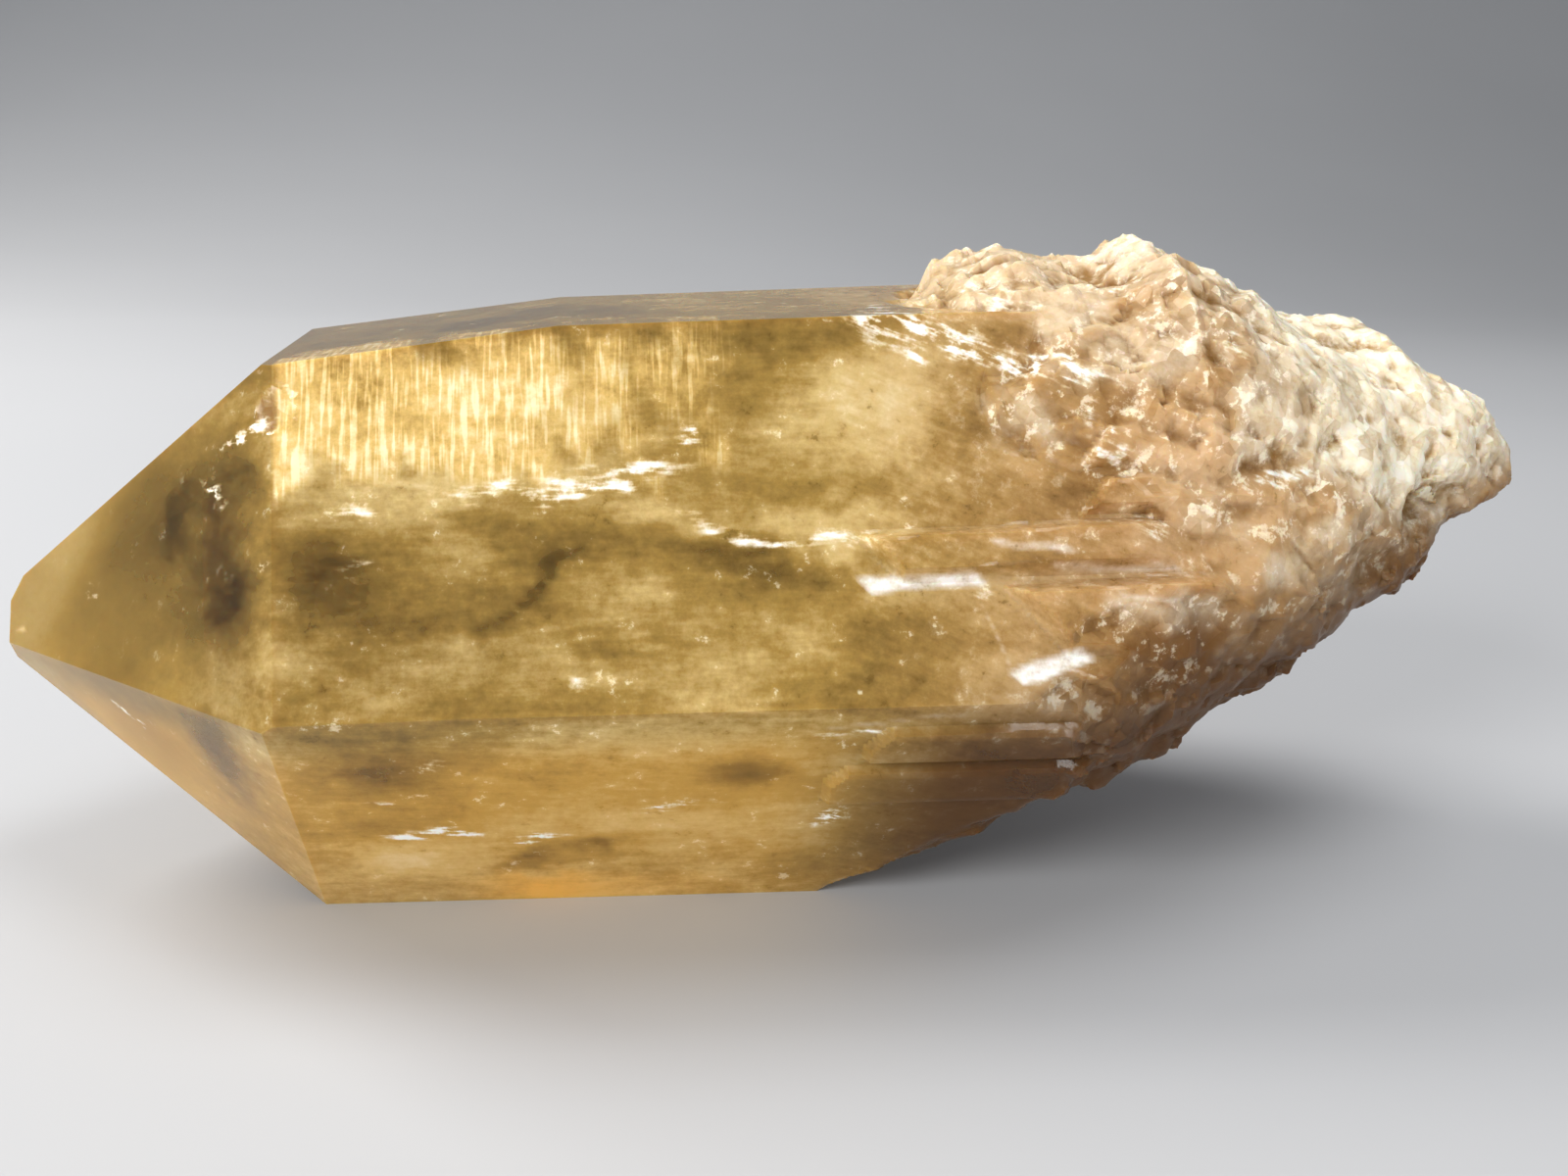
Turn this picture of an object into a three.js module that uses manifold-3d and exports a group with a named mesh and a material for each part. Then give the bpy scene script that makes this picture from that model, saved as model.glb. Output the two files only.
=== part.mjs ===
// A natural citrine crystal: a six-sided prism with a six-sided point, lying on one of
// its long faces, with a rough root where it broke from its bed.
// In the crystal's own frame x runs along it from the point to the root, y runs from the
// front to the back and z runs up. At the end the whole crystal is turned so that the
// face it rests on is level, and set with the middle of its base at the origin.
// Lengths are in millimetres and angles in degrees.

import * as THREE from 'three';
import { ConvexGeometry } from 'three/addons/geometries/ConvexGeometry.js';
import { LoftGeometry } from 'three/addons/geometries/LoftGeometry.js';
import { mergeVertices } from 'three/addons/utils/BufferGeometryUtils.js';
import Module from 'manifold-3d';

const wasm = await Module();
wasm.setup();

const LENGTH = 112.5;
const TIP_FLAT_AT = 3.0;
const PRISM_END = 116;

// Quartz's point faces lean 38.21 degrees from its long axis
const POINT_SLOPE = Math.tan(THREE.MathUtils.degToRad(38.21));

// The six long faces, each by the angle that it faces, its distance from the axis at the
// point's end, how much that distance grows per millimetre, and where the point face that
// ends it meets the axis. The front faces are those at 150 and 210.
const FACES = [
  { angle: 90, distance: 19.8, spread: 0.013, pointAt: 0 },
  { angle: 150, distance: 15.0, spread: 0.038, pointAt: 4.1 },
  { angle: 210, distance: 14.8, spread: 0.057, pointAt: 2.8 },
  { angle: 270, distance: 17.3, spread: 0.044, pointAt: 0 },
  { angle: 330, distance: 17.3, spread: 0.030, pointAt: 0 },
  { angle: 30, distance: 17.7, spread: 0.019, pointAt: 0 },
];

// The top and the main front face each bend in a little towards the point
const BENDS = [
  { angle: 90, distance: 15.8, spread: 0.11 },
  { angle: 150, distance: 14.2, spread: 0.061 },
];

const REST_SPREAD = FACES[3].spread;

// The middle line that the root's sections are measured from, which rises to its end
const MIDDLE = [
  [50, 0], [60, 0.5], [70, 1.6], [80, 3.0], [90, 4.6], [100, 6.2], [107, 7.6], [LENGTH, 7.6],
];

// How far the broken surface reaches from the crystal's axis at each station: to the
// front, to the back, up and down. Ahead of 58 it lies outside the long faces.
const BREAK_STATIONS = [
  { x: 30, front: 40, back: 40, up: 40, down: 40 },
  { x: 52, front: 27, back: 29, up: 33, down: 25 },
  { x: 58, front: 24, back: 26, up: 30, down: 20.3 },
  { x: 63, front: 22.3, back: 24, up: 28, down: 18.0 },
  { x: 68, front: 21.2, back: 22.4, up: 27, down: 16.8 },
  { x: 77, front: 19.6, back: 20.2, up: 25, down: 12.8 },
  { x: 83.5, front: 17.4, back: 18, up: 24, down: 10.0 },
  { x: 90.5, front: 14.6, back: 15.2, up: 20.4, down: 6.8 },
  { x: 94, front: 12.8, back: 13.4, up: 18.6, down: 3.0 },
  { x: 98.6, front: 10.8, back: 11.2, up: 16.8, down: 0.6 },
  { x: 101.4, front: 9.8, back: 9.8, up: 15.8, down: 0 },
  { x: 103.4, front: 8.7, back: 8.6, up: 14.8, down: -2.6 },
  { x: 107, front: 6.8, back: 7, up: 12.8, down: -4.9 },
  { x: 110, front: 4.8, back: 5, up: 11.0, down: -5.9 },
  { x: 111.6, front: 2.8, back: 3, up: 9.6, down: -6.4 },
  { x: LENGTH, front: 0.5, back: 0.5, up: 8.3, down: -6.9 },
];
const BREAK_ROUNDNESS = 2.3;

// The rough crust that stands over the top face near the root, in the same measures
const CRUST_STATIONS = [
  { x: 58, front: 9, back: 9, up: 18.0, down: 6 },
  { x: 60.5, front: 12.2, back: 11, up: 19.2, down: 8 },
  { x: 63, front: 12.9, back: 12, up: 20.0, down: 8 },
  { x: 66.8, front: 13.2, back: 13, up: 21.3, down: 8 },
  { x: 67.9, front: 13.5, back: 13.5, up: 22.7, down: 8 },
  { x: 72, front: 13.8, back: 14, up: 23.6, down: 8 },
  { x: 75.5, front: 15.0, back: 14.5, up: 23.0, down: 8 },
  { x: 78, front: 16.0, back: 15, up: 22.8, down: 8 },
  { x: 81, front: 16.6, back: 15, up: 24.5, down: 8 },
  { x: 84.5, front: 16.2, back: 14.6, up: 22.6, down: 7 },
  { x: 88.6, front: 14.6, back: 13.6, up: 20.6, down: 4 },
  { x: 92.6, front: 13.2, back: 12, up: 18.2, down: 2 },
  { x: 96.6, front: 11.4, back: 10.4, up: 17.6, down: 0 },
  { x: 99.5, front: 10.2, back: 9.4, up: 17.4, down: -2 },
  { x: 102.6, front: 8.6, back: 8.2, up: 15.8, down: -4 },
  { x: 104.2, front: 7.2, back: 7, up: 13.6, down: -5 },
  { x: 107.2, front: 5.6, back: 6, up: 11.8, down: -5.5 },
  { x: 109, front: 2.4, back: 2.6, up: 9.6, down: -6.5 },
];
const CRUST_ROUNDNESS = 2.6;

// Lumps and hollows of the root: where along, at which angle, how high and how wide
const ROOT_LUMPS = [
  { x: 104, angle: 140, height: 1.4, width: 4.2 },
  { x: 108, angle: 195, height: 1.6, width: 3.4 },
  { x: 101, angle: 178, height: -1.8, width: 3.0 },
  { x: 97, angle: 205, height: 1.5, width: 4.0 },
  { x: 92, angle: 165, height: 0.9, width: 4.5 },
  { x: 98, angle: 75, height: 1.1, width: 4.0 },
  { x: 90, angle: 40, height: 1.4, width: 5.0 },
  { x: 84, angle: 350, height: 1.5, width: 5.5 },
  { x: 97, angle: 320, height: 1.7, width: 4.5 },
  { x: 103, angle: 10, height: -1.5, width: 3.5 },
  { x: 88, angle: 285, height: 1.4, width: 5.0 },
  { x: 75, angle: 262, height: 1.1, width: 4.5 },
  { x: 80, angle: 228, height: 0.9, width: 4.0 },
];
const LUMP_ARM = 13;
const ROUGHNESS = 0.75;

// Small crystals grown along the long faces: the face each lies on, where its point is,
// and how high its middle is, its length and width, how far it stands proud, and how far
// its point is skewed to one side
const SMALL_CRYSTALS = [
  { face: 1, x: 58.0, rise: 6.6, length: 22, width: 3.5, proud: 1.2, skew: -0.5 },
  { face: 1, x: 65.6, rise: 2.6, length: 17, width: 5.2, proud: 1.4, skew: -0.7 },
  { face: 1, x: 74.2, rise: 1.9, length: 15, width: 4.2, proud: 1.1, skew: -0.5 },
  { face: 1, x: 72.6, rise: 12.4, length: 16, width: 3.0, proud: 0.9, skew: 0.4 },
  { face: 1, x: 72.2, rise: 9.8, length: 15, width: 2.6, proud: 1.0, skew: 0.6 },
  { face: 2, x: 56.8, rise: -3.2, length: 24, width: 4.6, proud: 0.9, skew: 0.3 },
  { face: 2, x: 54.2, rise: -6.6, length: 26, width: 5.6, proud: 1.0, skew: 0.2 },
  { face: 5, x: 62.0, rise: 9.0, length: 22, width: 4.8, proud: 1.2, skew: 0.5 },
  { face: 5, x: 69.0, rise: 3.2, length: 16, width: 4.0, proud: 1.0, skew: -0.4 },
  { face: 4, x: 58.5, rise: -7.0, length: 20, width: 5.0, proud: 1.1, skew: 0.4 },
];
const SMALL_POINT_SLOPE = 1.1;

// Pits and chips: the middle of each, and its half lengths along x, y and z
const PITS = [
  { at: [23.8, -8.7, 16.4], size: [1.7, 1.0, 1.3] },
  { at: [100.5, -10.4, 6.6], size: [2.6, 1.6, 1.1] },
  { at: [96.0, -12.8, 3.4], size: [2.8, 1.5, 1.4] },
  { at: [88.0, 9.0, -10.5], size: [3.0, 2.4, 1.8] },
  { at: [103.0, 8.6, 8.0], size: [3.0, 1.8, 1.6] },
];

const SECTION_POINTS = 48;
const CITRINE = { color: 0xb98a3c, roughness: 0.28, metalness: 0 };

/** The value at x on a line through [x, value] stations. */
function along(stations, x) {
  const next = stations.findIndex(([at]) => at >= x);
  if (next === 0) return stations[0][1];
  if (next < 0) return stations[stations.length - 1][1];
  const [x0, value0] = stations[next - 1];
  const [x1, value1] = stations[next];
  return THREE.MathUtils.mapLinear(x, x0, x1, value0, value1);
}

/** One measure of a table of stations, at x. */
function measure(stations, name, x) {
  return along(stations.map((station) => [station.x, station[name]]), x);
}

/** A closed geometry as a solid: shared corners merged and faces pointing out. */
function toSolid(geometry) {
  const bare = new THREE.BufferGeometry().copy(geometry);
  bare.deleteAttribute('normal');
  bare.deleteAttribute('uv');
  const merged = mergeVertices(bare, 1e-4);
  const position = merged.getAttribute('position');
  const index = merged.getIndex().array;
  const corner = (i) => new THREE.Vector3().fromBufferAttribute(position, i);
  const triangles = [];
  let volume = 0;
  for (let i = 0; i < index.length; i += 3) {
    const [a, b, c] = index.slice(i, i + 3);
    if (a === b || b === c || c === a) continue;
    triangles.push([a, b, c]);
    volume += corner(a).dot(corner(b).cross(corner(c)));
  }
  const outward = volume > 0 ? triangles : triangles.map(([a, b, c]) => [a, c, b]);
  return new wasm.Manifold(new wasm.Mesh({
    numProp: 3,
    vertProperties: new Float32Array(position.array),
    triVerts: new Uint32Array(outward.flat()),
  }));
}

/** A solid back as a geometry. */
function toGeometry(solid) {
  const mesh = solid.getMesh();
  const geometry = new THREE.BufferGeometry();
  geometry.setAttribute('position', new THREE.BufferAttribute(mesh.vertProperties, 3));
  geometry.setIndex(new THREE.BufferAttribute(mesh.triVerts, 1));
  geometry.computeVertexNormals();
  return geometry;
}

/** The plane normal . p = limit of a face that leans out by spread per millimetre. */
function leaningPlane(angle, distance, spread) {
  const turn = THREE.MathUtils.degToRad(angle);
  return { normal: new THREE.Vector3(-spread, Math.cos(turn), Math.sin(turn)), limit: distance };
}

/** The convex body inside a set of planes, from the corners where three of them meet. */
function convexInside(planes) {
  const corners = [];
  const system = new THREE.Matrix3();
  for (const a of planes) {
    for (const b of planes) {
      for (const c of planes) {
        system.set(...a.normal.toArray(), ...b.normal.toArray(), ...c.normal.toArray());
        if (system.determinant() < 1e-6) continue;
        const corner = new THREE.Vector3(a.limit, b.limit, c.limit).applyMatrix3(system.invert());
        if (planes.every((plane) => plane.normal.dot(corner) < plane.limit + 1e-4)) corners.push(corner);
      }
    }
  }
  return new ConvexGeometry(corners);
}

/** The prism with its point, cut off square inside the root. */
function prismGeometry() {
  const planes = [...FACES, ...BENDS].map((face) => leaningPlane(face.angle, face.distance, face.spread));
  for (const face of FACES) {
    planes.push(leaningPlane(face.angle, -face.pointAt * POINT_SLOPE, POINT_SLOPE));
  }
  planes.push({ normal: new THREE.Vector3(-1, 0, 0), limit: -TIP_FLAT_AT });
  planes.push({ normal: new THREE.Vector3(1, 0, 0), limit: PRISM_END });
  return convexInside(planes);
}

/** Slow lumps of about 8 to 20 mm, from products of sine waves, between -1 and 1. */
function waves(x, y, z) {
  const slow = Math.sin(0.31 * x + 1.3 * Math.sin(0.23 * y + 0.5)) * Math.sin(0.37 * y + 0.33 * z + 2.0);
  const quick = Math.sin(0.62 * z + 1.4 * Math.sin(0.41 * x) + 0.7) * Math.sin(0.71 * x + 0.57 * y + 1.9);
  return 0.6 * slow + 0.4 * quick;
}

/** How far the root's lumps and roughness move its surface out at one point. */
function rootRelief(x, angle, point) {
  const start = THREE.MathUtils.smoothstep(x, 56, 72);
  const lumps = ROOT_LUMPS.reduce((sum, lump) => {
    const turn = THREE.MathUtils.degToRad(lump.angle) - angle;
    const sideways = Math.atan2(Math.sin(turn), Math.cos(turn)) * LUMP_ARM;
    const away = Math.hypot(x - lump.x, sideways) / lump.width;
    return sum + lump.height * Math.exp(-away * away);
  }, 0);
  return lumps + ROUGHNESS * start * waves(...point);
}

/**
 * One closed section at x: a rounded outline whose reach differs to the front, the back,
 * upwards and downwards, moved out by the root's relief.
 */
function section(stations, roundness, x) {
  const middle = along(MIDDLE, x);
  const reach = {
    front: measure(stations, 'front', x),
    back: measure(stations, 'back', x),
    up: measure(stations, 'up', x) - middle,
    down: measure(stations, 'down', x) + middle,
  };
  return Array.from({ length: SECTION_POINTS }, (unused, i) => {
    const angle = (i / SECTION_POINTS) * 2 * Math.PI;
    const [across, height] = [Math.cos(angle), Math.sin(angle)];
    const side = Math.abs(across) / (across < 0 ? reach.front : reach.back);
    const rise = Math.abs(height) / (height < 0 ? reach.down : reach.up);
    const radius = (side ** roundness + rise ** roundness) ** (-1 / roundness);
    const relief = rootRelief(x, angle, [x, radius * across, radius * height]);
    const full = radius + relief * Math.min(1, radius / 8);
    return new THREE.Vector3(x, full * across, middle + full * height);
  });
}

/** A closed lofted body through the stations, with a section every step millimetres. */
function loft(stations, roundness, step) {
  const sections = [];
  const [first, last] = [stations[0].x, stations[stations.length - 1].x];
  const count = Math.ceil((last - first) / step);
  for (let i = 0; i <= count; i += 1) {
    sections.push(section(stations, roundness, THREE.MathUtils.lerp(first, last, i / count)));
  }
  return new LoftGeometry(sections, { capStart: true, capEnd: true });
}

/** The coarse body ahead of the root, wide enough to leave the point and prism whole. */
function aheadOfRoot() {
  const end = BREAK_STATIONS[0].x;
  const width = 2 * BREAK_STATIONS[0].up + 10;
  return new THREE.BoxGeometry(end + 12, width, width).translate((end - 12) / 2, 0, 0);
}

/** A small six-sided crystal lying along a long face, sunk so that it stands proud. */
function smallCrystal({ face, x, rise, length, width, proud, skew }) {
  const host = FACES[face];
  const planes = FACES.map(({ angle }) => leaningPlane(angle, width / 2, 0));
  for (const { angle } of FACES) {
    const shift = skew * Math.sin(THREE.MathUtils.degToRad(angle - host.angle));
    planes.push(leaningPlane(angle, shift * width, SMALL_POINT_SLOPE));
  }
  planes.push({ normal: new THREE.Vector3(1, 0, 0), limit: length });
  const turn = THREE.MathUtils.degToRad(host.angle);
  const [across, height] = [Math.cos(turn), Math.sin(turn)];
  const out = host.distance + host.spread * x + proud - width / 2;
  const sideways = (rise - out * height) / across;
  const lean = new THREE.Vector3(1, host.spread * across, host.spread * height).normalize();
  const place = new THREE.Quaternion().setFromUnitVectors(new THREE.Vector3(1, 0, 0), lean);
  return convexInside(planes)
    .applyQuaternion(place)
    .translate(x, out * across - sideways * height, rise);
}

/** A faceted pit, deepest at its middle. */
function pitGeometry({ at, size }) {
  return new THREE.IcosahedronGeometry(1, 1).scale(...size).translate(...at);
}

/** The whole crystal as one solid. */
function crystalGeometry() {
  const allowed = toSolid(loft(BREAK_STATIONS, BREAK_ROUNDNESS, 1.9)).add(toSolid(aheadOfRoot()));
  let crystal = toSolid(prismGeometry()).intersect(allowed);
  for (const small of SMALL_CRYSTALS) {
    crystal = crystal.add(toSolid(smallCrystal(small)).intersect(allowed));
  }
  crystal = crystal.add(toSolid(loft(CRUST_STATIONS, CRUST_ROUNDNESS, 1.9)));
  for (const pit of PITS) {
    crystal = crystal.subtract(toSolid(pitGeometry(pit)));
  }
  return toGeometry(crystal);
}

const crystal = new THREE.Mesh(crystalGeometry(), new THREE.MeshStandardMaterial(CITRINE));
crystal.name = 'crystal';
crystal.rotation.y = -Math.atan(REST_SPREAD);

const piece = new THREE.Group();
piece.add(crystal);
piece.updateMatrixWorld(true);
const box = new THREE.Box3().setFromObject(piece, true);
const middle = box.getCenter(new THREE.Vector3());
piece.position.set(-middle.x, -middle.y, -box.min.z);
piece.updateMatrixWorld(true);

export default piece;
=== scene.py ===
"""A natural citrine crystal lying on one of its long faces: clear honey at its point, milky
along its body, rough and white where it broke from its bed.

The crystal's own frame is in millimetres: x runs along it from the point to the root, y from
its front to its back and z up. to_row() turns that into the model's frame, in metres.
"""

import math

import bpy
import numpy as np
from mathutils import Matrix, Vector


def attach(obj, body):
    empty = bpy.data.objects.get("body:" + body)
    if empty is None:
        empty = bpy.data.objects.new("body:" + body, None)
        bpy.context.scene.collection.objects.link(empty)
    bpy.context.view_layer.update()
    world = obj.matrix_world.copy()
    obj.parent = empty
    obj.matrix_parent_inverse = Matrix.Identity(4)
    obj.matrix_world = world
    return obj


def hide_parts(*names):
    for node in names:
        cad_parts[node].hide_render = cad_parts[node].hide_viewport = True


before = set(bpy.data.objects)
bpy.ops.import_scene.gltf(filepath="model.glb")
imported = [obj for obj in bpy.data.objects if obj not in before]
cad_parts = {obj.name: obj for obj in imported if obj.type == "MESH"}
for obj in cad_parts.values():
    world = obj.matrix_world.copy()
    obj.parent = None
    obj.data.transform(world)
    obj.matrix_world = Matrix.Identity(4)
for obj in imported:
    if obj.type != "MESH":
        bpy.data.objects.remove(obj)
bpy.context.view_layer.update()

MM = 0.001
SEED = 7

# The crystal's form, with the same measures as its solid
LENGTH = 112.5
TIP_FLAT_AT = 3.0
POINT_SLOPE = math.tan(math.radians(38.21))
REST_SPREAD = 0.044
AXIS_AT = (-57.509, -0.589, 17.283)

# The long faces in turn round the axis: the angle each faces, its distance from the axis at
# the point's end, its growth per millimetre, where its point face meets the axis, and how
# many columns of the mesh it gets
FACES = [
    {"angle": 30, "distance": 17.7, "spread": 0.019, "point_at": 0.0, "columns": 26},
    {"angle": 90, "distance": 19.8, "spread": 0.013, "point_at": 0.0, "columns": 48},
    {"angle": 150, "distance": 15.0, "spread": 0.038, "point_at": 4.1, "columns": 100},
    {"angle": 210, "distance": 14.8, "spread": 0.057, "point_at": 2.8, "columns": 66},
    {"angle": 270, "distance": 17.3, "spread": 0.044, "point_at": 0.0, "columns": 16},
    {"angle": 330, "distance": 17.3, "spread": 0.030, "point_at": 0.0, "columns": 24},
]

# Faces 1 and 2 bend in towards the point: there they lie at this distance, with this growth
BENDS = {1: (15.8, 0.11), 2: (14.2, 0.061)}

# The height of the line that the root closes in on: places along x, and heights there
MIDDLE = ([50, 60, 70, 80, 90, 100, 107, LENGTH], [0, 0.5, 1.6, 3.0, 4.6, 6.2, 7.6, 7.6])

# How far the broken surface and the crust reach from the axis: x, front, back, up, down
BREAK = np.array([
    (30, 40, 40, 40, 40), (52, 27, 29, 33, 25), (58, 24, 26, 30, 20.3), (63, 22.3, 24, 28, 18.0),
    (68, 21.2, 22.4, 27, 16.8), (77, 19.6, 20.2, 25, 12.8), (83.5, 17.4, 18, 24, 10.0),
    (90.5, 14.6, 15.2, 20.4, 6.8), (94, 12.8, 13.4, 18.6, 3.0), (98.6, 10.8, 11.2, 16.8, 0.6),
    (101.4, 9.8, 9.8, 15.8, 0.0), (103.4, 8.7, 8.6, 14.8, -2.6), (107, 6.8, 7, 12.8, -4.9),
    (110, 4.8, 5, 11.0, -5.9), (111.6, 2.8, 3, 9.6, -6.4), (LENGTH, 0.5, 0.5, 8.3, -6.9),
])
BREAK_ROUNDNESS = 2.3
CRUST = np.array([
    (58, 9, 9, 18.0, 6), (60.5, 12.2, 11, 19.2, 8), (63, 12.9, 12, 20.0, 8),
    (66.8, 13.2, 13, 21.3, 8), (67.9, 13.5, 13.5, 22.7, 8), (72, 13.8, 14, 23.6, 8),
    (75.5, 15.0, 14.5, 23.0, 8), (78, 16.0, 15, 22.8, 8), (81, 16.6, 15, 24.5, 8),
    (84.5, 16.2, 14.6, 22.6, 7), (88.6, 14.6, 13.6, 20.6, 4), (92.6, 13.2, 12, 18.2, 2),
    (96.6, 11.4, 10.4, 17.6, 0), (99.5, 10.2, 9.4, 17.4, -2), (102.6, 8.6, 8.2, 15.8, -4),
    (104.2, 7.2, 7, 13.6, -5), (107.2, 5.6, 6, 11.8, -5.5), (109, 2.4, 2.6, 9.6, -6.5),
])
CRUST_ROUNDNESS = 2.6

# Lumps and hollows of the root: x, angle, height, width
ROOT_LUMPS = [
    (104, 140, 1.4, 4.2), (108, 195, 1.6, 3.4), (101, 178, -1.8, 3.0), (97, 205, 1.5, 4.0),
    (92, 165, 0.9, 4.5), (98, 75, 1.1, 4.0), (90, 40, 1.4, 5.0), (84, 350, 1.5, 5.5),
    (97, 320, 1.7, 4.5), (103, 10, -1.5, 3.5), (88, 285, 1.4, 5.0), (75, 262, 1.1, 4.5),
    (80, 228, 0.9, 4.0),
]

# How far from the axis the lumps' widths are measured, and how high the slow waves are
LUMP_ARM = 13
ROUGHNESS = 0.75

# Small crystals along the long faces: face, point's x, height of the middle, length, width,
# how proud it stands, and how far its point is skewed
SMALL_CRYSTALS = [
    (2, 58.0, 6.6, 22, 3.5, 1.2, -0.5), (2, 65.6, 2.6, 17, 5.2, 1.4, -0.7),
    (2, 74.2, 1.9, 15, 4.2, 1.1, -0.5), (2, 72.6, 12.4, 16, 3.0, 0.9, 0.4),
    (2, 72.2, 9.8, 15, 2.6, 1.0, 0.6), (3, 56.8, -3.2, 24, 4.6, 0.6, 0.3),
    (3, 54.2, -6.6, 26, 5.6, 0.6, 0.2), (0, 62.0, 9.0, 22, 4.8, 1.2, 0.5),
    (0, 69.0, 3.2, 16, 4.0, 1.0, -0.4), (5, 58.5, -7.0, 20, 5.0, 1.1, 0.4),
]

# The slope of their points, and the length over which their far ends sink
SMALL_POINT_SLOPE = 1.1
SMALL_CRYSTAL_END = 5

# What shows inside the front, each as x, z, half length, half height, tilt in degrees and
# strength. Clouds are milkier where their strength is above 0 and darker below. Windows are
# clearer where it is above 0 and milkier below.
CLOUDS = [
    (27.0, 7.0, 2.2, 2.2, 0, -0.12), (25.8, 12.0, 1.0, 1.6, 0, 0.10), (52, 14.5, 8, 4.0, 0, 0.02),
    (61, 14.5, 5, 3.5, 0, 0.06), (53.0, 6.6, 4.5, 1.3, -10, -0.16), (59, 4.0, 4, 1.6, -10, -0.04),
    (39.5, 6.3, 3.6, 0.4, 39, -0.18), (44, 2.6, 4.0, 0.9, 0, -0.10), (33, 6.0, 2.5, 1.8, 0, 0.05),
    (44, 5.4, 3.0, 1.0, 0, 0.06), (40, 11.7, 6.0, 0.8, 2, 0.08), (52, 8.9, 6.5, 0.8, -8, 0.12),
    (62, 7.2, 4.0, 1.0, 0, -0.06), (70.5, 6.6, 4.5, 0.9, 4, -0.16), (73, 10.0, 3.0, 1.6, 0, -0.10),
    (77, 2.0, 6.0, 3.2, 10, -0.20), (66, 9.8, 3.0, 1.6, 0, -0.05), (28.5, -5.0, 2.2, 1.0, 0, -0.16),
    (51.2, -6.5, 2.2, 1.1, -10, -0.34), (68, -8.5, 8, 3.6, 10, -0.12), (17.2, 8.6, 1.3, 2.0, -25, -0.20),
    (19.4, -5.0, 1.4, 4.5, 8, -0.14), (31, -12.0, 4.0, 1.2, 0, 0.06), (42, -12.8, 4.5, 0.8, 8, -0.12),
    (31, 1.5, 5.0, 1.6, 12, 0.08), (36, 9.0, 4.0, 0.8, 0, -0.06), (48, -11, 4.0, 2.0, 0, 0.05),
    (62, -4.2, 9, 1.2, 2, -0.12), (20.6, 6.5, 2.4, 5.2, 0, -0.10), (21.6, 12, 1.5, 2.5, 0, -0.06),
    (29, -6.5, 6, 4, 0, -0.16), (12, 4, 8, 8, 0, -0.09), (13, -5, 6, 4, -40, -0.19),
    (72, 12, 8, 5, 0, -0.04), (15, 9, 4, 5, 0, -0.10), (33, -5.2, 4, 1.8, 0, -0.12),
    (37.0, -14.0, 1.6, 0.8, 50, -0.22), (42, -13.2, 2.4, 0.5, -25, -0.14),
    (29, -13.5, 4, 2.0, 0, 0.10),
]
# Veils: milky where they stand, with painted highlights on them: the internal flashes, and the glints
# along the root's ledge and crest
VEILS_AND_GLINTS = [
    (28.6, 10.4, 1.0, 0.8, 0, 0.8), (38.6, 11.3, 4.6, 0.7, 4, 0.8), (45.0, 12.1, 3.4, 0.6, 2, 1.1),
    (43.0, 11.0, 2.0, 0.4, 0, 0.9), (50.5, 8.9, 3.8, 0.6, -14, 0.6), (56.5, 8.0, 3.6, 0.45, -2, 0.8),
    (48.9, 14.2, 0.7, 0.6, 0, 1.4), (22.1, 14.6, 2.0, 0.4, 44, 1.5), (20.3, 10.8, 0.9, 0.7, 20, 1.3),
    (10.0, 3.7, 0.5, 0.6, 0, 0.8), (31.5, -11.1, 2.8, 0.5, -4, 1.9), (37.6, -12.0, 1.8, 0.45, 12, 1.7),
    (28.9, -7.8, 0.7, 0.4, 0, 0.9), (32.6, -4.4, 0.6, 0.7, 0, 0.7), (57.0, -11.5, 1.1, 0.5, 20, 1.9),
    (62.5, 20.0, 2.4, 0.9, -14, 1.2), (67.0, 18.9, 3.2, 0.8, -16, 1.3), (72.8, 17.2, 3.4, 0.7, -10, 1.3),
    (62.3, 18.3, 1.6, 0.6, -30, 0.9), (74.0, 14.3, 0.9, 1.2, 0, 1.0), (74.9, 12.4, 1.8, 0.8, 0, 0.8),
    (77.3, 8.3, 1.3, 0.8, 0, 1.0), (84.6, 10.6, 1.1, 0.5, 0, 1.1), (88.2, 10.9, 3.0, 0.5, 2, 1.0),
    (76.5, 22.6, 1.4, 0.9, -30, 1.0), (83, 18.7, 1.4, 0.8, -30, 1.0), (70, 21.5, 2.5, 1.2, -30, 0.7),
    (24.4, 7.6, 0.4, 0.4, 0, 1.2), (29.2, 7.2, 0.5, 0.4, 0, 1.1), (12.2, -4.2, 1.8, 0.35, -54, 0.9),
    (41, 1.0, 0.8, 0.6, 0, 0.8), (66, 4.5, 1.2, 0.4, 0, 0.7), (58, -3.0, 3.0, 0.3, 4, 0.7),
    (47.0, -9.2, 2.4, 0.4, 6, 1.2),
]
WINDOWS = [
    (20.8, 6.0, 2.0, 5.4, 0, 1.0), (19.6, -5.0, 1.6, 4.5, 8, 0.9), (27, 6.5, 2.2, 2.4, 0, 0.6),
    (28.5, -5.0, 2.4, 1.2, 0, 0.6), (32, 3.5, 5, 3, 0, 0.3), (34, -9, 14, 6, 0, -0.9),
    (60, -9, 14, 6, 0, -0.9), (12, -6, 6, 5, -40, -2.0),
]

# The lined golden patch, where a golden glow is painted: x, z, half length and half height. The painted
# glow along the lower edge: x and how far below.
GOLD_GLOW_PATCH = (36.0, 16.0, 12.0, 4.2)
BOTTOM_GLOW = (43, 17)

# Painted highlights along the edges of the small crystals: from x, z to x, z, half their height and their
# strength
EDGE_HIGHLIGHTS = [
    (58.7, 5.5, 66.0, 5.8, 0.48, 1.0), (67.4, 0.25, 72.1, 1.4, 0.55, 1.0),
    (66.6, 7.9, 71.6, 7.4, 0.22, 0.5), (70.4, 6.3, 78.6, 5.8, 0.25, 0.5),
    (65.9, 4.0, 67.4, 0.4, 0.2, 0.25), (74.0, 4.9, 78.0, 4.4, 0.18, 0.35),
    (56.0, -2.6, 64.5, -1.7, 0.10, 0.25),
]

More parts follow.
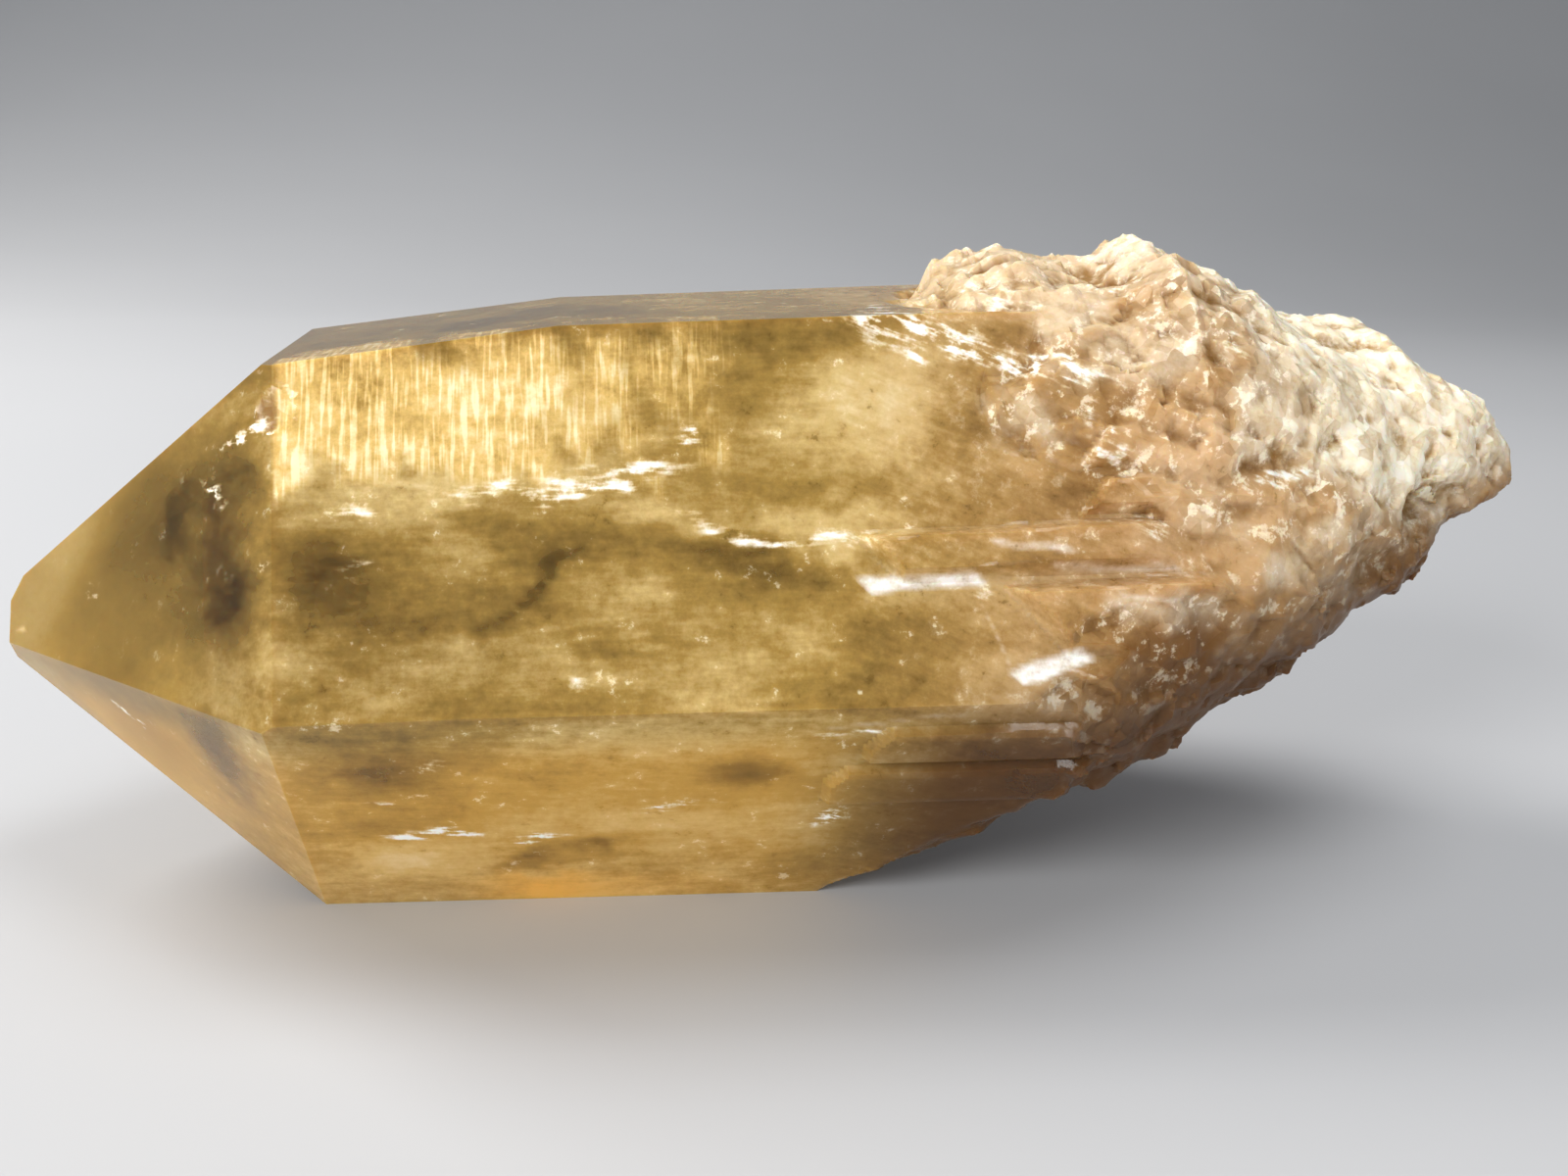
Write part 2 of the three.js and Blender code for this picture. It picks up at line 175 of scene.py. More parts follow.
# Chips: x, y, z, then how far they reach along, across and up, and how deep they are
CHIPS = [(23.9, -8.8, 16.2, 1.2, 1.4, 1.5, 0.7), (100.5, -10.4, 6.6, 2.6, 1.6, 1.1, 0.8),
         (96.0, -12.8, 3.4, 2.8, 1.5, 1.4, 0.8)]

# The camera, in the model's frame, and its turn, tip and roll in degrees
CAMERA_AT = (-0.0165, -0.0911, 0.0496)
CAMERA_TURN = 9.6
CAMERA_DOWN = 18.0
CAMERA_ROLL = -2.32
CAMERA_LENS = 30.15


def smooth(value, low, high):
    """0 below low, 1 above high, and an even S curve between them."""
    share = np.clip((value - low) / (high - low), 0, 1)
    return share * share * (3 - 2 * share)


def to_row(points):
    """Points of the crystal's frame, in mm, turned until the rest face is level and moved
    so that the middle of the base is at the origin, in metres."""
    tilt = math.atan(REST_SPREAD)
    x, y, z = np.asarray(points, float).T
    c, s = math.cos(tilt), math.sin(tilt)
    turned = np.stack([x * c - z * s, y, x * s + z * c], 1)
    return (turned + AXIS_AT) * MM


# Noise on arrays of points

def scatter(cell, seed):
    """A fixed random number from 0 to 1 for each whole-number cell: its three numbers times
    large primes, mixed by shifts."""
    x, y, z = np.moveaxis(cell.astype(np.int64), -1, 0)
    mixed = x * 374761393 + y * 668265263 + z * 2147483647 + seed * 974634777
    mixed = (mixed ^ (mixed >> 13)) & 0xFFFFFFFF
    mixed = (mixed * 1274126177) & 0xFFFFFFFF
    mixed = mixed ^ (mixed >> 16)
    return (mixed & 0xFFFFFF) / float(0xFFFFFF)


def soft_noise(points, size, seed):
    """Smooth noise from -1 to 1 with blobs of that size in mm: the random numbers at a
    cell's eight corners, blended by the smooth share of the way across it."""
    place = points / size
    cell = np.floor(place)
    share = place - cell
    share = share ** 3 * (share * (share * 6 - 15) + 10)
    total = np.zeros(points.shape[:-1])
    for corner in np.ndindex(2, 2, 2):
        weight = np.prod(np.where(corner, share, 1 - share), axis=-1)
        total += weight * scatter(cell + corner, seed)
    return total * 2 - 1


def layered_noise(points, size, seed, layers=4, keep=0.5):
    """Soft noise of halving size, added up, with each layer that share as high as the last."""
    return sum(soft_noise(points, size / 2 ** k, seed + k) * keep ** k for k in range(layers))


def broken_facets(points, size, seed):
    """The relief of a broken face: round each of the random seeds, one per cell, it is a flat
    plane that leans its own way. Where the nearest two are almost as near, they are blended,
    so that the faces meet in creases. From about -1 to 1."""
    place = points / size
    cell = np.floor(place)
    nearest, second = np.full(points.shape[:-1], 9.0), np.full(points.shape[:-1], 9.0)
    relief, other = np.zeros(points.shape[:-1]), np.zeros(points.shape[:-1])
    for step in np.ndindex(3, 3, 3):
        there = cell + step - 1
        seeds = there + np.stack([scatter(there, seed + k) for k in range(3)], -1)
        away = place - seeds
        distance = np.sqrt((away ** 2).sum(-1))
        lean = np.stack([scatter(there, seed + 3 + k) for k in range(3)], -1) * 2 - 1
        plane = (away * lean).sum(-1) + 0.4 * (scatter(there, seed + 6) * 2 - 1)
        closer = distance < nearest
        between = ~closer & (distance < second)
        other = np.where(closer, relief, np.where(between, plane, other))
        second = np.where(closer, nearest, np.where(between, distance, second))
        relief = np.where(closer, plane, relief)
        nearest = np.where(closer, distance, nearest)
    own = 0.5 + 0.5 * smooth(second - nearest, 0, 0.2)
    return relief * own + other * (1 - own)


# The crystal's surface

# The mesh's rows: where they begin and their step along the body, where the finer ones begin
# and their step, and how long the rounded end is and how many rows it gets
ROWS_FROM = 3.5
ROW_STEP = 0.6
ROOT_ROWS_FROM = 56
ROOT_ROW_STEP = 0.24
END_CAP = 3.6
END_ROWS = 26

# Faces that meet at more than this many degrees keep a sharp edge
CREASE_ANGLE = 24


def stations():
    """The x of each row: every place where a face bends or its point face begins, and
    between them even steps that are finer along the root."""
    kept = [TIP_FLAT_AT]
    for number, face in enumerate(FACES):
        slopes = [(face["distance"], face["spread"])]
        if number in BENDS:
            slopes.append(BENDS[number])
            distance, spread = BENDS[number]
            kept.append((face["distance"] - distance) / (spread - face["spread"]))
        for distance, spread in slopes:
            kept.append((distance + face["point_at"] * POINT_SLOPE) / (POINT_SLOPE - spread))
    body = np.arange(ROWS_FROM, ROOT_ROWS_FROM, ROW_STEP)
    root = np.arange(ROOT_ROWS_FROM, LENGTH - END_CAP, ROOT_ROW_STEP)
    end = LENGTH - END_CAP * (1 - np.sin(np.linspace(0, 0.5 * np.pi, END_ROWS)))
    even = np.concatenate([body, root, end])
    clear = np.all(np.abs(even[:, None] - np.array(kept)[None, :]) > 0.5 * ROOT_ROW_STEP, axis=1)
    return np.unique(np.concatenate([kept, even[clear]]))


def face_distance(number, x):
    """How far a face lies from the axis at x: the least of its long face, its bend near
    the point, and its point face."""
    face = FACES[number]
    long_face = face["distance"] + face["spread"] * x
    distance = np.minimum(long_face, (x - face["point_at"]) * POINT_SLOPE)
    if number in BENDS:
        distance = np.minimum(distance, BENDS[number][0] + BENDS[number][1] * x)
    return distance


def meeting(angle_a, distance_a, angle_b, distance_b):
    """Where two lines in a section meet, each given by the angle it faces and how far out
    it lies: the cross product of the two equations over the sine of the angle between."""
    a, b = math.radians(angle_a), math.radians(angle_b)
    between = math.sin(b - a)
    y = (distance_a * math.sin(b) - distance_b * math.sin(a)) / between
    z = (distance_b * math.cos(a) - distance_a * math.cos(b)) / between
    return np.stack([y, z], -1)


def section_corners(x):
    """Each section's six corners: corner i ends side i. A side that its neighbours cut off
    shrinks to the point where they meet."""
    sides = [(face["angle"], face_distance(i, x)) for i, face in enumerate(FACES)]
    corners = [meeting(*sides[i], *sides[(i + 1) % 6]) for i in range(6)]
    for i in range(6):
        turn = math.radians(FACES[i]["angle"])
        along = np.array([-math.sin(turn), math.cos(turn)])
        gone = ((corners[i] - corners[i - 1]) @ along) < 0
        shared = meeting(*sides[i - 1], *sides[(i + 1) % 6])
        corners[i] = np.where(gone[:, None], shared, corners[i])
        corners[i - 1] = np.where(gone[:, None], shared, corners[i - 1])
    return corners


def small_crystal_height(number, x, places):
    """How high the small crystals stand over a face: for each, the least of the heights of
    its own flat faces and point faces, and nothing where its far faces have cut it off.
    Its far end sinks evenly into the root."""
    turn = math.radians(FACES[number]["angle"])
    out = np.array([math.cos(turn), math.sin(turn)])
    sideways = np.array([-math.sin(turn), math.cos(turn)])
    height = np.zeros(x.shape)
    for face, start, rise, length, width, proud, skew in SMALL_CRYSTALS:
        if face != number:
            continue
        middle_out = FACES[face]["distance"] + FACES[face]["spread"] * start + proud - width / 2
        q = places @ sideways - (rise - middle_out * out[1]) / out[0]
        sunk = proud - width / 2
        own = np.minimum(proud, proud + width / 2 - math.sqrt(3) * np.abs(q))
        low = np.full(x.shape, sunk)
        for degrees in (0, 60, -60, 120, -120):
            c, s = math.cos(math.radians(degrees)), math.sin(math.radians(degrees))
            bound = sunk + (SMALL_POINT_SLOPE * (x - start) + skew * width * s - q * s) / c
            if c > 0:
                own = np.minimum(own, bound)
            else:
                low = np.maximum(low, bound)
        own = np.where(own >= low, own, 0) * smooth(start + length - x, 0, SMALL_CRYSTAL_END)
        height = np.maximum(height, own)
    return height


def reach(table, roundness, x, angle, middle):
    """The distance from the middle line to a rounded outline: a power sum of its reach to
    the front or back and its reach up or down, at that angle."""
    front, back, up, down = [np.interp(x, table[:, 0], table[:, k]) for k in range(1, 5)]
    across, height = np.cos(angle), np.sin(angle)
    side = np.abs(across) / np.where(across < 0, front, back)
    rise = np.abs(height) / np.where(height < 0, down + middle, up - middle)
    return (side ** roundness + rise ** roundness) ** (-1 / roundness)


def waves(x, y, z):
    """Slow lumps from products of sine waves."""
    slow = np.sin(0.31 * x + 1.3 * np.sin(0.23 * y + 0.5)) * np.sin(0.37 * y + 0.33 * z + 2.0)
    quick = np.sin(0.62 * z + 1.4 * np.sin(0.41 * x) + 0.7) * np.sin(0.71 * x + 0.57 * y + 1.9)
    return 0.6 * slow + 0.4 * quick


def root_relief(x, angle, radius):
    """The root's lumps, each a bell round its place, and its slow roughness."""
    relief = ROUGHNESS * smooth(x, 56, 72) * waves(x, radius * np.cos(angle), radius * np.sin(angle))
    for at, degrees, height, width in ROOT_LUMPS:
        turn = math.radians(degrees) - angle
        sideways = np.arctan2(np.sin(turn), np.cos(turn)) * LUMP_ARM
        relief = relief + height * np.exp(-((x - at) ** 2 + sideways ** 2) / width ** 2)
    return relief * np.minimum(1, radius / 8)


def patches(place, table, seed):
    """How strongly the front's patches show at each point: the sum over them of a bell over
    its length and height, after the point is moved a little by noise so that no edge is even."""
    x = place[..., 0] + 1.2 * layered_noise(place, 3.0, seed, 3)
    z = place[..., 2] + 0.45 * layered_noise(place, 2.2, seed + 50, 3)
    total = np.zeros(x.shape)
    for at_x, at_z, length, height, degrees, strength in table:
        c, s = math.cos(math.radians(degrees)), math.sin(math.radians(degrees))
        along, across = (x - at_x) * c + (z - at_z) * s, (z - at_z) * c - (x - at_x) * s
        total = total + strength * np.exp(-(along / length) ** 2 - (across / height) ** 2)
    return total * smooth(-place[..., 1], 0, 4)


def gold_glow_patch(place):
    """The lined golden patch by the shoulder, where a golden glow is painted: strong in the middle and
    ragged at its end.
    """
    at_x, at_z, length, height = GOLD_GLOW_PATCH
    ragged = layered_noise(place * (1, 1, 0.25), 2.2, SEED + 70, 3)
    before = smooth(at_x - length + 0.2 - place[..., 0], -0.2, 0.2)
    inside = smooth(at_x + length - place[..., 0] + 6 * ragged, -4, 8) * (1 - before)
    inside = inside * smooth(height - np.abs(place[..., 2] - at_z) + 1.6 * ragged, -0.5, 1.6)
    return inside * smooth(-place[..., 1], 2, 5)


def painted_edge_highlights(place):
    """The painted highlights along the edges of the small crystals: near enough to the line between their
    ends.
    """
    x, z = place[..., 0], place[..., 2]
    edge_highlight = np.zeros(x.shape)
    for from_x, from_z, to_x, to_z, half, strength in EDGE_HIGHLIGHTS:
        share = (x - from_x) / (to_x - from_x)
        off = z - from_z - share * (to_z - from_z) - 0.12 * soft_noise(place, 1.0, SEED + 77)
        slanted = x + 0.9 * off
        ends = smooth(slanted, from_x - 0.2, from_x + 0.2) * smooth(to_x - slanted, -0.2, 0.5)
        edge_highlight = np.maximum(edge_highlight, strength * ends * smooth(half - np.abs(off), -0.12, 0.28))
    return edge_highlight * smooth(-place[..., 1], 5, 8)


def milkiness(place):
    """How milky the quartz is under each point, about 0.5 in the middle: noise drawn out
    along the crystal, calmer at its point, and the front's clouds."""
    x, z = place[..., 0], place[..., 2]
    noise = layered_noise(place * (1, 1.4, 1.8), 10, SEED + 60, 5, 0.58)
    calm = 0.2 + 0.8 * smooth(x, 13, 26)
    top = smooth(z - 0.35 * np.abs(place[..., 1]), 13.5, 16) * (1 - smooth(x, 54, 62))
    return 0.49 + 0.10 * calm * noise + patches(place, CLOUDS, SEED + 63) - 0.10 * top


def whiteness(place, rough):
    """Where the root has weathered white: past a slanting line near its end, partly along its crest, and
    in spots on its broken faces. It stays off the underside, where shade is painted."""
    x, z = place[..., 0], place[..., 2]
    noise = layered_noise(place, 6, SEED + 81, 5, 0.6)
    end = smooth(x + 0.7 * (z - 12) + 4 * noise, 83, 93)
    crest = 0.45 * rough * smooth(z + 2 * noise, 14, 19) * smooth(noise, -0.6, 0.6)
    spots = 0.5 * rough * smooth(layered_noise(place, 5, SEED + 90), 0.15, 0.8)
    low = smooth(z + 3 * noise - 0.35 * (x - 80), -6, 4)
    return np.maximum(np.maximum(end, crest), spots) * low


def local_mean(values, reach):
    """Each value's mean with its neighbours, up to reach rows and columns away."""
    steps = range(-reach, reach + 1)
    turned = sum(np.roll(values, k, 1) for k in steps)
    rows = np.arange(len(values))
    return sum(turned[np.clip(rows + k, 0, len(values) - 1)] for k in steps) / len(steps) ** 2


def whole_outline(x):
    """The outline before it is broken, across and up for each row and column: straight sides
    between the corners, with the small crystals' height added the way each face points."""
    corners = section_corners(x)
    outline = []
    for number, face in enumerate(FACES):
        share = (np.arange(face["columns"]) / face["columns"])[None, :, None]
        side = corners[number - 1][:, None, :] * (1 - share) + corners[number][:, None, :] * share
        turn = math.radians(face["angle"])
        over = np.repeat(x[:, None], face["columns"], 1)
        height = small_crystal_height(number, over, side)
        outline.append(side + height[..., None] * (math.cos(turn), math.sin(turn)))
    return np.concatenate(outline, 1)


def root_grain(place, along):
    """The fine relief of the root: two sizes of broken faces on places squeezed along the
    crystal and slanted, so that they lie as ledges, and small faces. Gives the sum, and the
    small faces alone."""
    slanted = place * (0.5, 1, 1) + along[..., None] * (0, 0, 0.34)
    grain = 0.62 * broken_facets(slanted, 4.8, SEED + 11) + 0.42 * broken_facets(slanted, 2.2, SEED + 23)
    small = broken_facets(place, 1.1, SEED + 41)
    return grain + 0.20 * small, small


def crystal_surface():
    """The crystal's points on a grid of rows along it and columns round it, and the masks
    for its material. A point goes out from the middle line to the six-sided outline with
    its small crystals, but no further than the broken surface, or to the crust where that
    stands further out. Rough surfaces get their grain, more on the crest and less on the
    calm front, and last the chips are cut, each a bell."""
    x = stations()
    outline = whole_outline(x)
    along = np.repeat(x[:, None], outline.shape[1], 1)
    middle = np.interp(along, *MIDDLE)
    line = np.stack([np.zeros_like(middle), middle], -1)
    offset = outline - line
    angle = np.arctan2(offset[..., 1], offset[..., 0])
    direction = np.stack([np.cos(angle), np.sin(angle)], -1)
    whole = np.hypot(offset[..., 0], offset[..., 1])

    broken = reach(BREAK, BREAK_ROUNDNESS, along, angle, middle)
    broken = broken + root_relief(along, angle, broken)
    crust = reach(CRUST, CRUST_ROUNDNESS, along, angle, middle)
    crust = crust + root_relief(along, angle, crust)
    crust = np.where((along >= CRUST[0, 0]) & (along <= CRUST[-1, 0]), crust, 0)
    radius = np.maximum(np.minimum(whole, broken), crust)
    rough = np.maximum(smooth(whole - broken, -0.5, 0.3), smooth(crust - whole, -0.4, 0.3))

    place = np.concatenate([along[..., None], radius[..., None] * direction + line], -1)
    creep = smooth(layered_noise(place, 7, SEED) + smooth(along, 66, 92) * 1.5, 0.7, 1.2)
    rough = np.maximum(rough, creep * smooth(along, 64, 70) * 0.75)
    grain, small = root_grain(place, along)
    height, front = place[..., 2], -place[..., 1]
    crest = 1 + 0.4 * smooth(height, 16, 21)
    calm = np.exp(-((along - 81) / 10) ** 2 - ((height - 5) / 7) ** 2) * smooth(front, 4, 8)
    fade = np.minimum(1, radius / 5) * smooth(along, 57, 66)
    radius = radius + rough * (1 - 0.55 * calm) * fade * (grain * crest - 0.14)
    chipped = np.zeros(radius.shape)
    for at_x, at_y, at_z, long, wide, high, depth in CHIPS:
        away = (place - (at_x, at_y, at_z)) / (long, wide, high)
        bell = np.exp(-(away ** 2).sum(-1))
        radius = radius - depth * bell * (1 + 0.5 * small)
        chipped = np.maximum(chipped, smooth(bell, 0.25, 0.5))
    place[..., 1:] = radius[..., None] * direction + line
    rough = np.maximum(rough, chipped)
    return place, surface_marks(place, radius, rough, chipped, calm, small)


def surface_marks(place, radius, rough, chipped, calm, small):
    """The masks that the mesh carries for its material, from 0 to 1 unless said otherwise: rough on broken
    surfaces, grit where they glint, painted shade in creases and in the chips near the point with ochre
    low on the end, milk about 0.5, milky veils with their painted highlights up to 1.3, window from -2,
    where it is milkier, to 1, the golden patch's painted glow, white, painted highlights on the small
    crystals' edges, painted shade on the underside and painted glow along the lower edge and on the low
    faces near the point."""
    along, height = place[..., 0], place[..., 2]
    front = -place[..., 1]
    white = whiteness(place, rough)
    grit = 0.2 + 0.8 * smooth(layered_noise(place, 5, SEED + 51, 3), -0.45, 0.45)
    grit = np.maximum(grit * (1 - 0.75 * calm), 0.8 * white)
    # Painted shade in creases: darker where the surface lies below the mean of its neighbours
    crease_shade = smooth(local_mean(radius, 5) - radius, 0.0, 0.3) * smooth(along, 62, 70)
    # Ochre low on the end, and painted shade in the chips near the point
    ochre_and_chip_shade = 0.9 * smooth(along, 92, 98) * smooth(7.5 - height + 3 * small, 0, 4)
    ochre_and_chip_shade = np.maximum(ochre_and_chip_shade, 0.8 * chipped * smooth(along, 50, 20))
    # Painted glow, as of light coming through the crystal: orange along the lower edge and on the low
    # faces near the point
    glow_x, glow_z = BOTTOM_GLOW
    glow = smooth(-height + 1.1 * layered_noise(place, 4, SEED + 99, 4), glow_z - 2.4, glow_z + 1.2)
    wide_glow = np.exp(-((along - glow_x) / 14) ** 2)
    glow_peak = np.exp(-((along - glow_x + 5) / 4) ** 2)
    glow = glow * 0.5 * (wide_glow + glow_peak) * smooth(front, 2, 5)
    low_faces_glow = 0.28 * smooth(-height, 1.5, 5) * smooth(60 - along, 0, 8)
    return {
        "rough": rough,
        "grit": grit,
        "crease_shade_and_ochre": np.maximum(crease_shade, ochre_and_chip_shade),
        "milk": milkiness(place),
        "veil_glint": np.clip(patches(place, VEILS_AND_GLINTS, SEED + 66), 0, 1.3),
        "window": np.clip(patches(place, WINDOWS, SEED + 69), -2, 1),
        "gold_glow": gold_glow_patch(place),
        "white": white,
        "edge_highlight": painted_edge_highlights(place),
        # Painted shade on the underside of the root
        "under": smooth(-4.2 + 0.2 * (along - 65) - height, -7, 3) * smooth(along, 52, 66),
        "glow": np.maximum(glow, low_faces_glow),
    }


def grid_mesh(name, place, attributes):
    """A closed mesh from rows of points round a body: quads between rows, and a fan to one
    point at each end. Faces point outwards when columns run anticlockwise seen from +x."""
    rows, columns = place.shape[:2]
    first, last = place[0].mean(0), place[-1].mean(0)
    points = np.concatenate([place.reshape(-1, 3), [first, last]])
    index = np.arange(rows * columns).reshape(rows, columns)
    here, below = index[:-1], index[1:]
    quads = np.stack([here, np.roll(here, -1, 1), np.roll(below, -1, 1), below], -1).reshape(-1, 4)
    head = np.stack([np.roll(index[0], -1), index[0], np.full(columns, rows * columns)], -1)
    tail = np.stack([index[-1], np.roll(index[-1], -1), np.full(columns, rows * columns + 1)], -1)
    mesh = bpy.data.meshes.new(name)
    mesh.from_pydata(to_row(points), [], quads.tolist() + head.tolist() + tail.tolist())
    for label, values in attributes.items():
        full = np.concatenate([values.ravel(), [values[0].mean(), values[-1].mean()]]).astype(np.float32)
        mesh.attributes.new(label, "FLOAT", "POINT").data.foreach_set("value", full)
    mesh.validate()
    return mesh


def new_object(name, mesh, material):
    """An object of that mesh and material at the origin."""
    piece = bpy.data.objects.new(name, mesh)
    bpy.context.scene.collection.objects.link(piece)
    mesh.materials.append(material)
    return piece


# Materials

def add(tree, kind, where=None, **inputs):
    """A node with its own options set from where, and its inputs set by name, or by number
    as in _0, from plain values or from other nodes' outputs."""
    node = tree.nodes.new(kind)
    for name, value in (where or {}).items():
        setattr(node, name, value)
    for name, value in inputs.items():
        socket = node.inputs[int(name[1:])] if name[0] == "_" else node.inputs[name.replace("_", " ")]
        if isinstance(value, bpy.types.NodeSocket):
            tree.links.new(value, socket)
        else:
            socket.default_value = value
    return node


def maths(tree, operation, a, b=0.0, clamp=False):
    """The result of one sum on a and b, held between 0 and 1 if clamp is set."""
    return add(tree, "ShaderNodeMath", {"operation": operation, "use_clamp": clamp}, _0=a, _1=b).outputs[0]


def times(tree, a, b):
    """a times b."""
    return maths(tree, "MULTIPLY", a, b)


def plus(tree, a, b):
    """a plus b."""
    return maths(tree, "ADD", a, b)


def off_middle(tree, value):
    """How far a value is above or below 0.5."""
    return maths(tree, "SUBTRACT", value, 0.5)


def held(tree, value):
    """The value, held between 0 and 1."""
    return maths(tree, "ADD", value, 0.0, clamp=True)


def between(tree, value, low, high):
    """A mask that rises smoothly from 0 at low to 1 at high."""
    return add(tree, "ShaderNodeMapRange", {"interpolation_type": "SMOOTHSTEP"}, Value=value,
               From_Min=low, From_Max=high).outputs[0]


def mark(tree, name):
    """A mask that the mesh carries."""
    return add(tree, "ShaderNodeAttribute", {"attribute_name": name}).outputs["Fac"]


def ramp(tree, value, stops):
    """A colour ramp of (place, colour) stops."""
    node = add(tree, "ShaderNodeValToRGB", Fac=value)
    while len(node.color_ramp.elements) < len(stops):
        node.color_ramp.elements.new(0.5)
    for element, (place, colour) in zip(node.color_ramp.elements, stops):
        element.position = place
        element.color = (*colour, 1) if len(colour) == 3 else colour
    return node.outputs["Color"]


def blend(tree, share, a, b):
    """A mix of two colours: a where the share is 0 and b where it is 1."""
    node = tree.nodes.new("ShaderNodeMix")
    node.data_type = "RGBA"
    for socket, value in ((node.inputs[0], share), (node.inputs[6], a), (node.inputs[7], b)):
        if isinstance(value, bpy.types.NodeSocket):
            tree.links.new(value, socket)
        else:
            socket.default_value = (*value, 1) if isinstance(value, tuple) else value
    return node.outputs[2]


def new_material(name):
    """A material with an empty node tree, and that tree."""
    material = bpy.data.materials.new(name)
    material.use_nodes = True
    material.node_tree.nodes.clear()
    return material, material.node_tree


# The quartz's colours: body, painted shade under the root, root, weathered end, the golden patch's painted
# glow, the painted low glow, and painted glints and highlights
OLIVE = (0.20, 0.115, 0.020)
HONEY = (0.41, 0.255, 0.060)
BUTTER = (0.63, 0.46, 0.19)
PALE = (0.90, 0.78, 0.50)
UNDER_SHADE = (0.075, 0.028, 0.005)
BROWN = (0.24, 0.11, 0.026)
TAN = (0.45, 0.26, 0.10)
ROSE = (0.62, 0.405, 0.215)
SAND = (0.80, 0.63, 0.40)
OCHRE = (0.40, 0.24, 0.085)
CREAM = (0.93, 0.81, 0.60)
CHALK = (0.97, 0.91, 0.78)
DEEP_GOLD = (0.42, 0.26, 0.065)
GOLD = (0.76, 0.52, 0.18)
LIT_GOLD = (1.0, 0.88, 0.55)
GLOW_ORANGE = (0.92, 0.47, 0.08)
WARM_GLINT = (1.0, 0.90, 0.62)
HIGHLIGHT_WHITE = (0.97, 0.95, 0.90)
FLOOR_GREYS = ((0.50, 0.51, 0.53), (0.54, 0.55, 0.57))

# The clear share: its tint, what a lamp's light keeps of its colour, and what it absorbs
QUARTZ_IOR = 1.544
CLEAR = (1.0, 0.95, 0.85, 1)
LAMP_TINT = (0.85, 0.65, 0.35, 1)
HONEY_LEFT = (0.80, 0.60, 0.15, 1)
HONEY_DENSITY = 400.0
MOST_MILK = 0.97

# The masks that the mesh carries
MARKS = ("rough", "grit", "crease_shade_and_ochre", "milk", "veil_glint", "window", "gold_glow", "white", "edge_highlight", "under",
         "glow")

# The fine patterns, in features per metre: along x, y and z where they are drawn out. The
# streaks fall by this much for each metre along the root.
GRAIN_SCALE = 750.0
FACET_SCALE = 1150.0
STREAK_SCALE = (330.0, 1500.0, 1900.0)
STREAK_FALL = 0.40
LINE_SCALE = (3800.0, 330.0, 330.0)


def drawn_out_noise(tree, place, scale, detail):
    """Noise in fine streaks, drawn out along the axes with the smallest scale."""
    along = add(tree, "ShaderNodeMapping", Vector=place, Scale=scale).outputs[0]
    noise = add(tree, "ShaderNodeTexNoise", Vector=along, Scale=1.0, Detail=detail, Roughness=0.6)
    return noise.outputs["Fac"]


def small_facets(tree, place, scale):
    """Broken quartz's small faces: a random tone for each cell, and the height over it of a
    plane that leans its own way, in thirds of a millimetre: (place - cell's middle) . lean."""
    cells = add(tree, "ShaderNodeTexVoronoi", Vector=place, Scale=scale)
    tone = add(tree, "ShaderNodeSeparateColor", Color=cells.outputs["Color"]).outputs[0]
    away = add(tree, "ShaderNodeVectorMath", {"operation": "SUBTRACT"}, _0=place,
               _1=cells.outputs["Position"])
    lean = add(tree, "ShaderNodeVectorMath", {"operation": "SUBTRACT"}, _0=cells.outputs["Color"],
               _1=(0.5, 0.5, 0.5))
    plane = add(tree, "ShaderNodeVectorMath", {"operation": "DOT_PRODUCT"}, _0=away.outputs[0],
                _1=lean.outputs[0])
    return tone, times(tree, plane.outputs["Value"], 3000.0)


def fine_patterns(tree, place, x, marks):
    """The patterns that are too fine for the mesh: an even grain, streaks that slant down towards the
    root, the tone of small broken faces, which on broken surfaces is also their painted shade, and how
    they tilt."""
    grain = add(tree, "ShaderNodeTexNoise", Vector=place, Scale=GRAIN_SCALE, Detail=4.0,
                Roughness=0.72).outputs["Fac"]
    fall = times(tree, maths(tree, "MAXIMUM", x, 0.0), STREAK_FALL)
    fall = add(tree, "ShaderNodeCombineXYZ", Z=fall).outputs[0]
    slanted = add(tree, "ShaderNodeVectorMath", _0=place, _1=fall).outputs[0]
    streak = drawn_out_noise(tree, slanted, STREAK_SCALE, 2.0)
    facet, tilt = small_facets(tree, place, FACET_SCALE)
    gritty = times(tree, marks["rough"], marks["grit"])
    return {
        "grain": grain,
        "fine": off_middle(tree, grain),
        "streaky": off_middle(tree, streak),
        "facet": facet,
        "gritty": gritty,
        # On broken surfaces each small face's random tone is painted shade
        "facet_shade": times(tree, off_middle(tree, facet), gritty),
        "relief": times(tree, tilt, gritty),
    }


